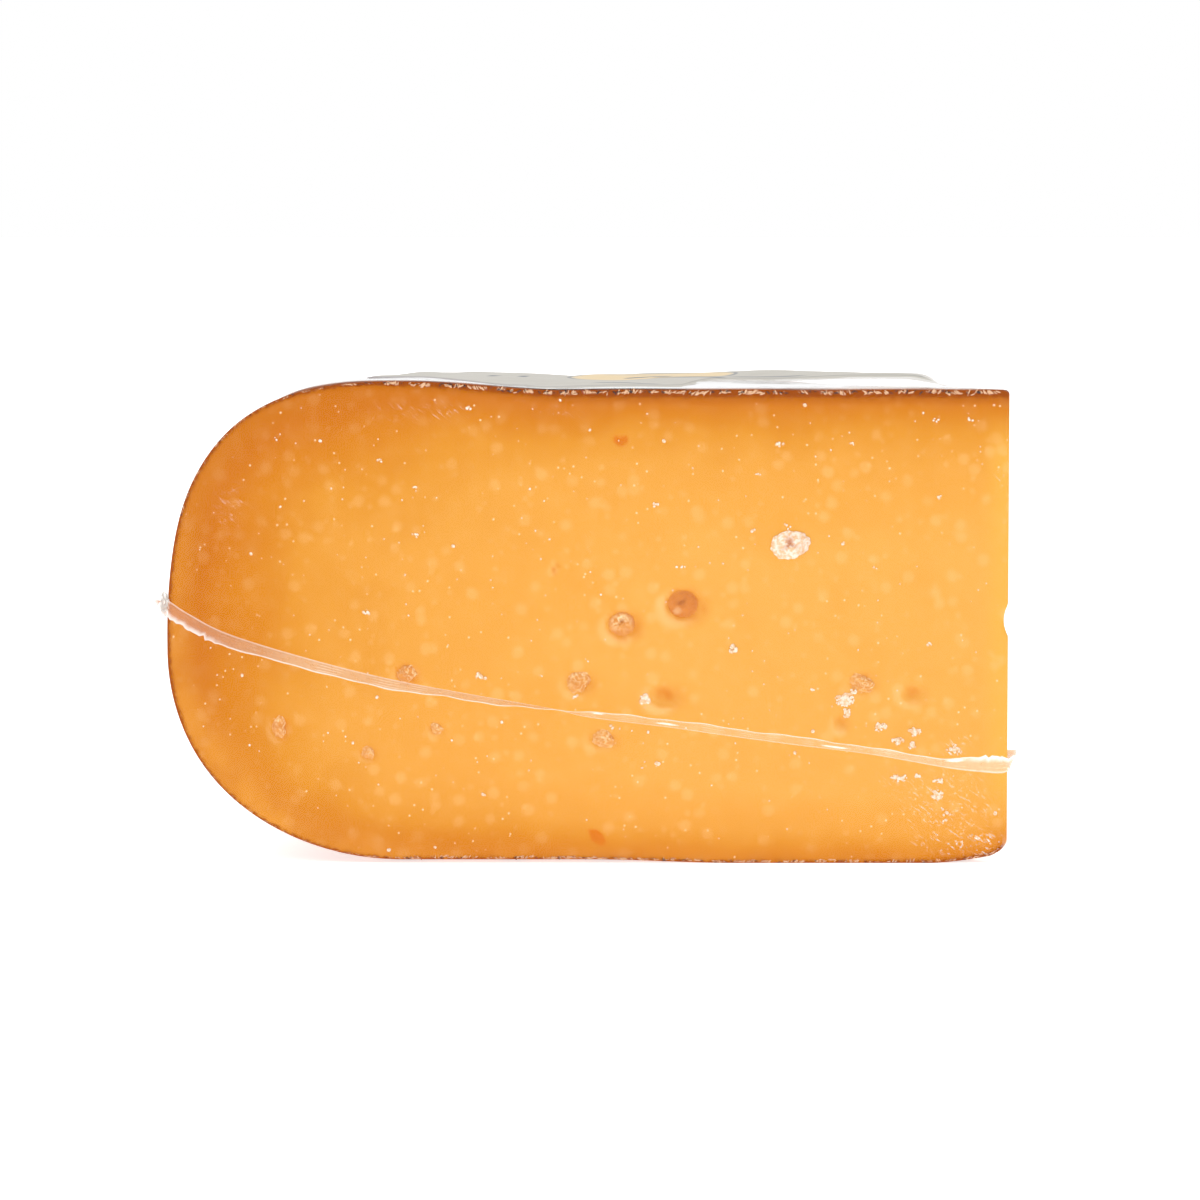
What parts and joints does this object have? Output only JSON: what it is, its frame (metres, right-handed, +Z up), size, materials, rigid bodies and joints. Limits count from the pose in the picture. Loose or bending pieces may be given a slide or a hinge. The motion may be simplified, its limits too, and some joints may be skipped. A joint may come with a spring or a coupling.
{
  "type": "cheese wedge",
  "caption": "Wedge of aged hard cheese cut from a round wheel, sealed in clear shrink film with a welded film fin across it and a printed label on top; it stands on its flat underside.",
  "frame": {"origin": "centre of the bounding box's bottom face, on the surface the wedge stands on", "axes": "+Z is up. -Y is the front cut face's outward side. +X runs along the front cut face from the rounded rind to the thin end, which was the middle of the wheel."},
  "size_m": [0.1876, 0.111, 0.1075],
  "materials": {
    "cheese": "smooth pale orange paste with small white crystals and a thin brown rind, under clear glossy film",
    "label": "silver grey print under clear glossy film",
    "film": "clear glossy shrink film, milky where it is welded"
  },
  "bodies": {
    "root": {"cheese_in_film": "cheese", "top_label": "label", "film_fin": "film"}
  },
  "joints": []
}
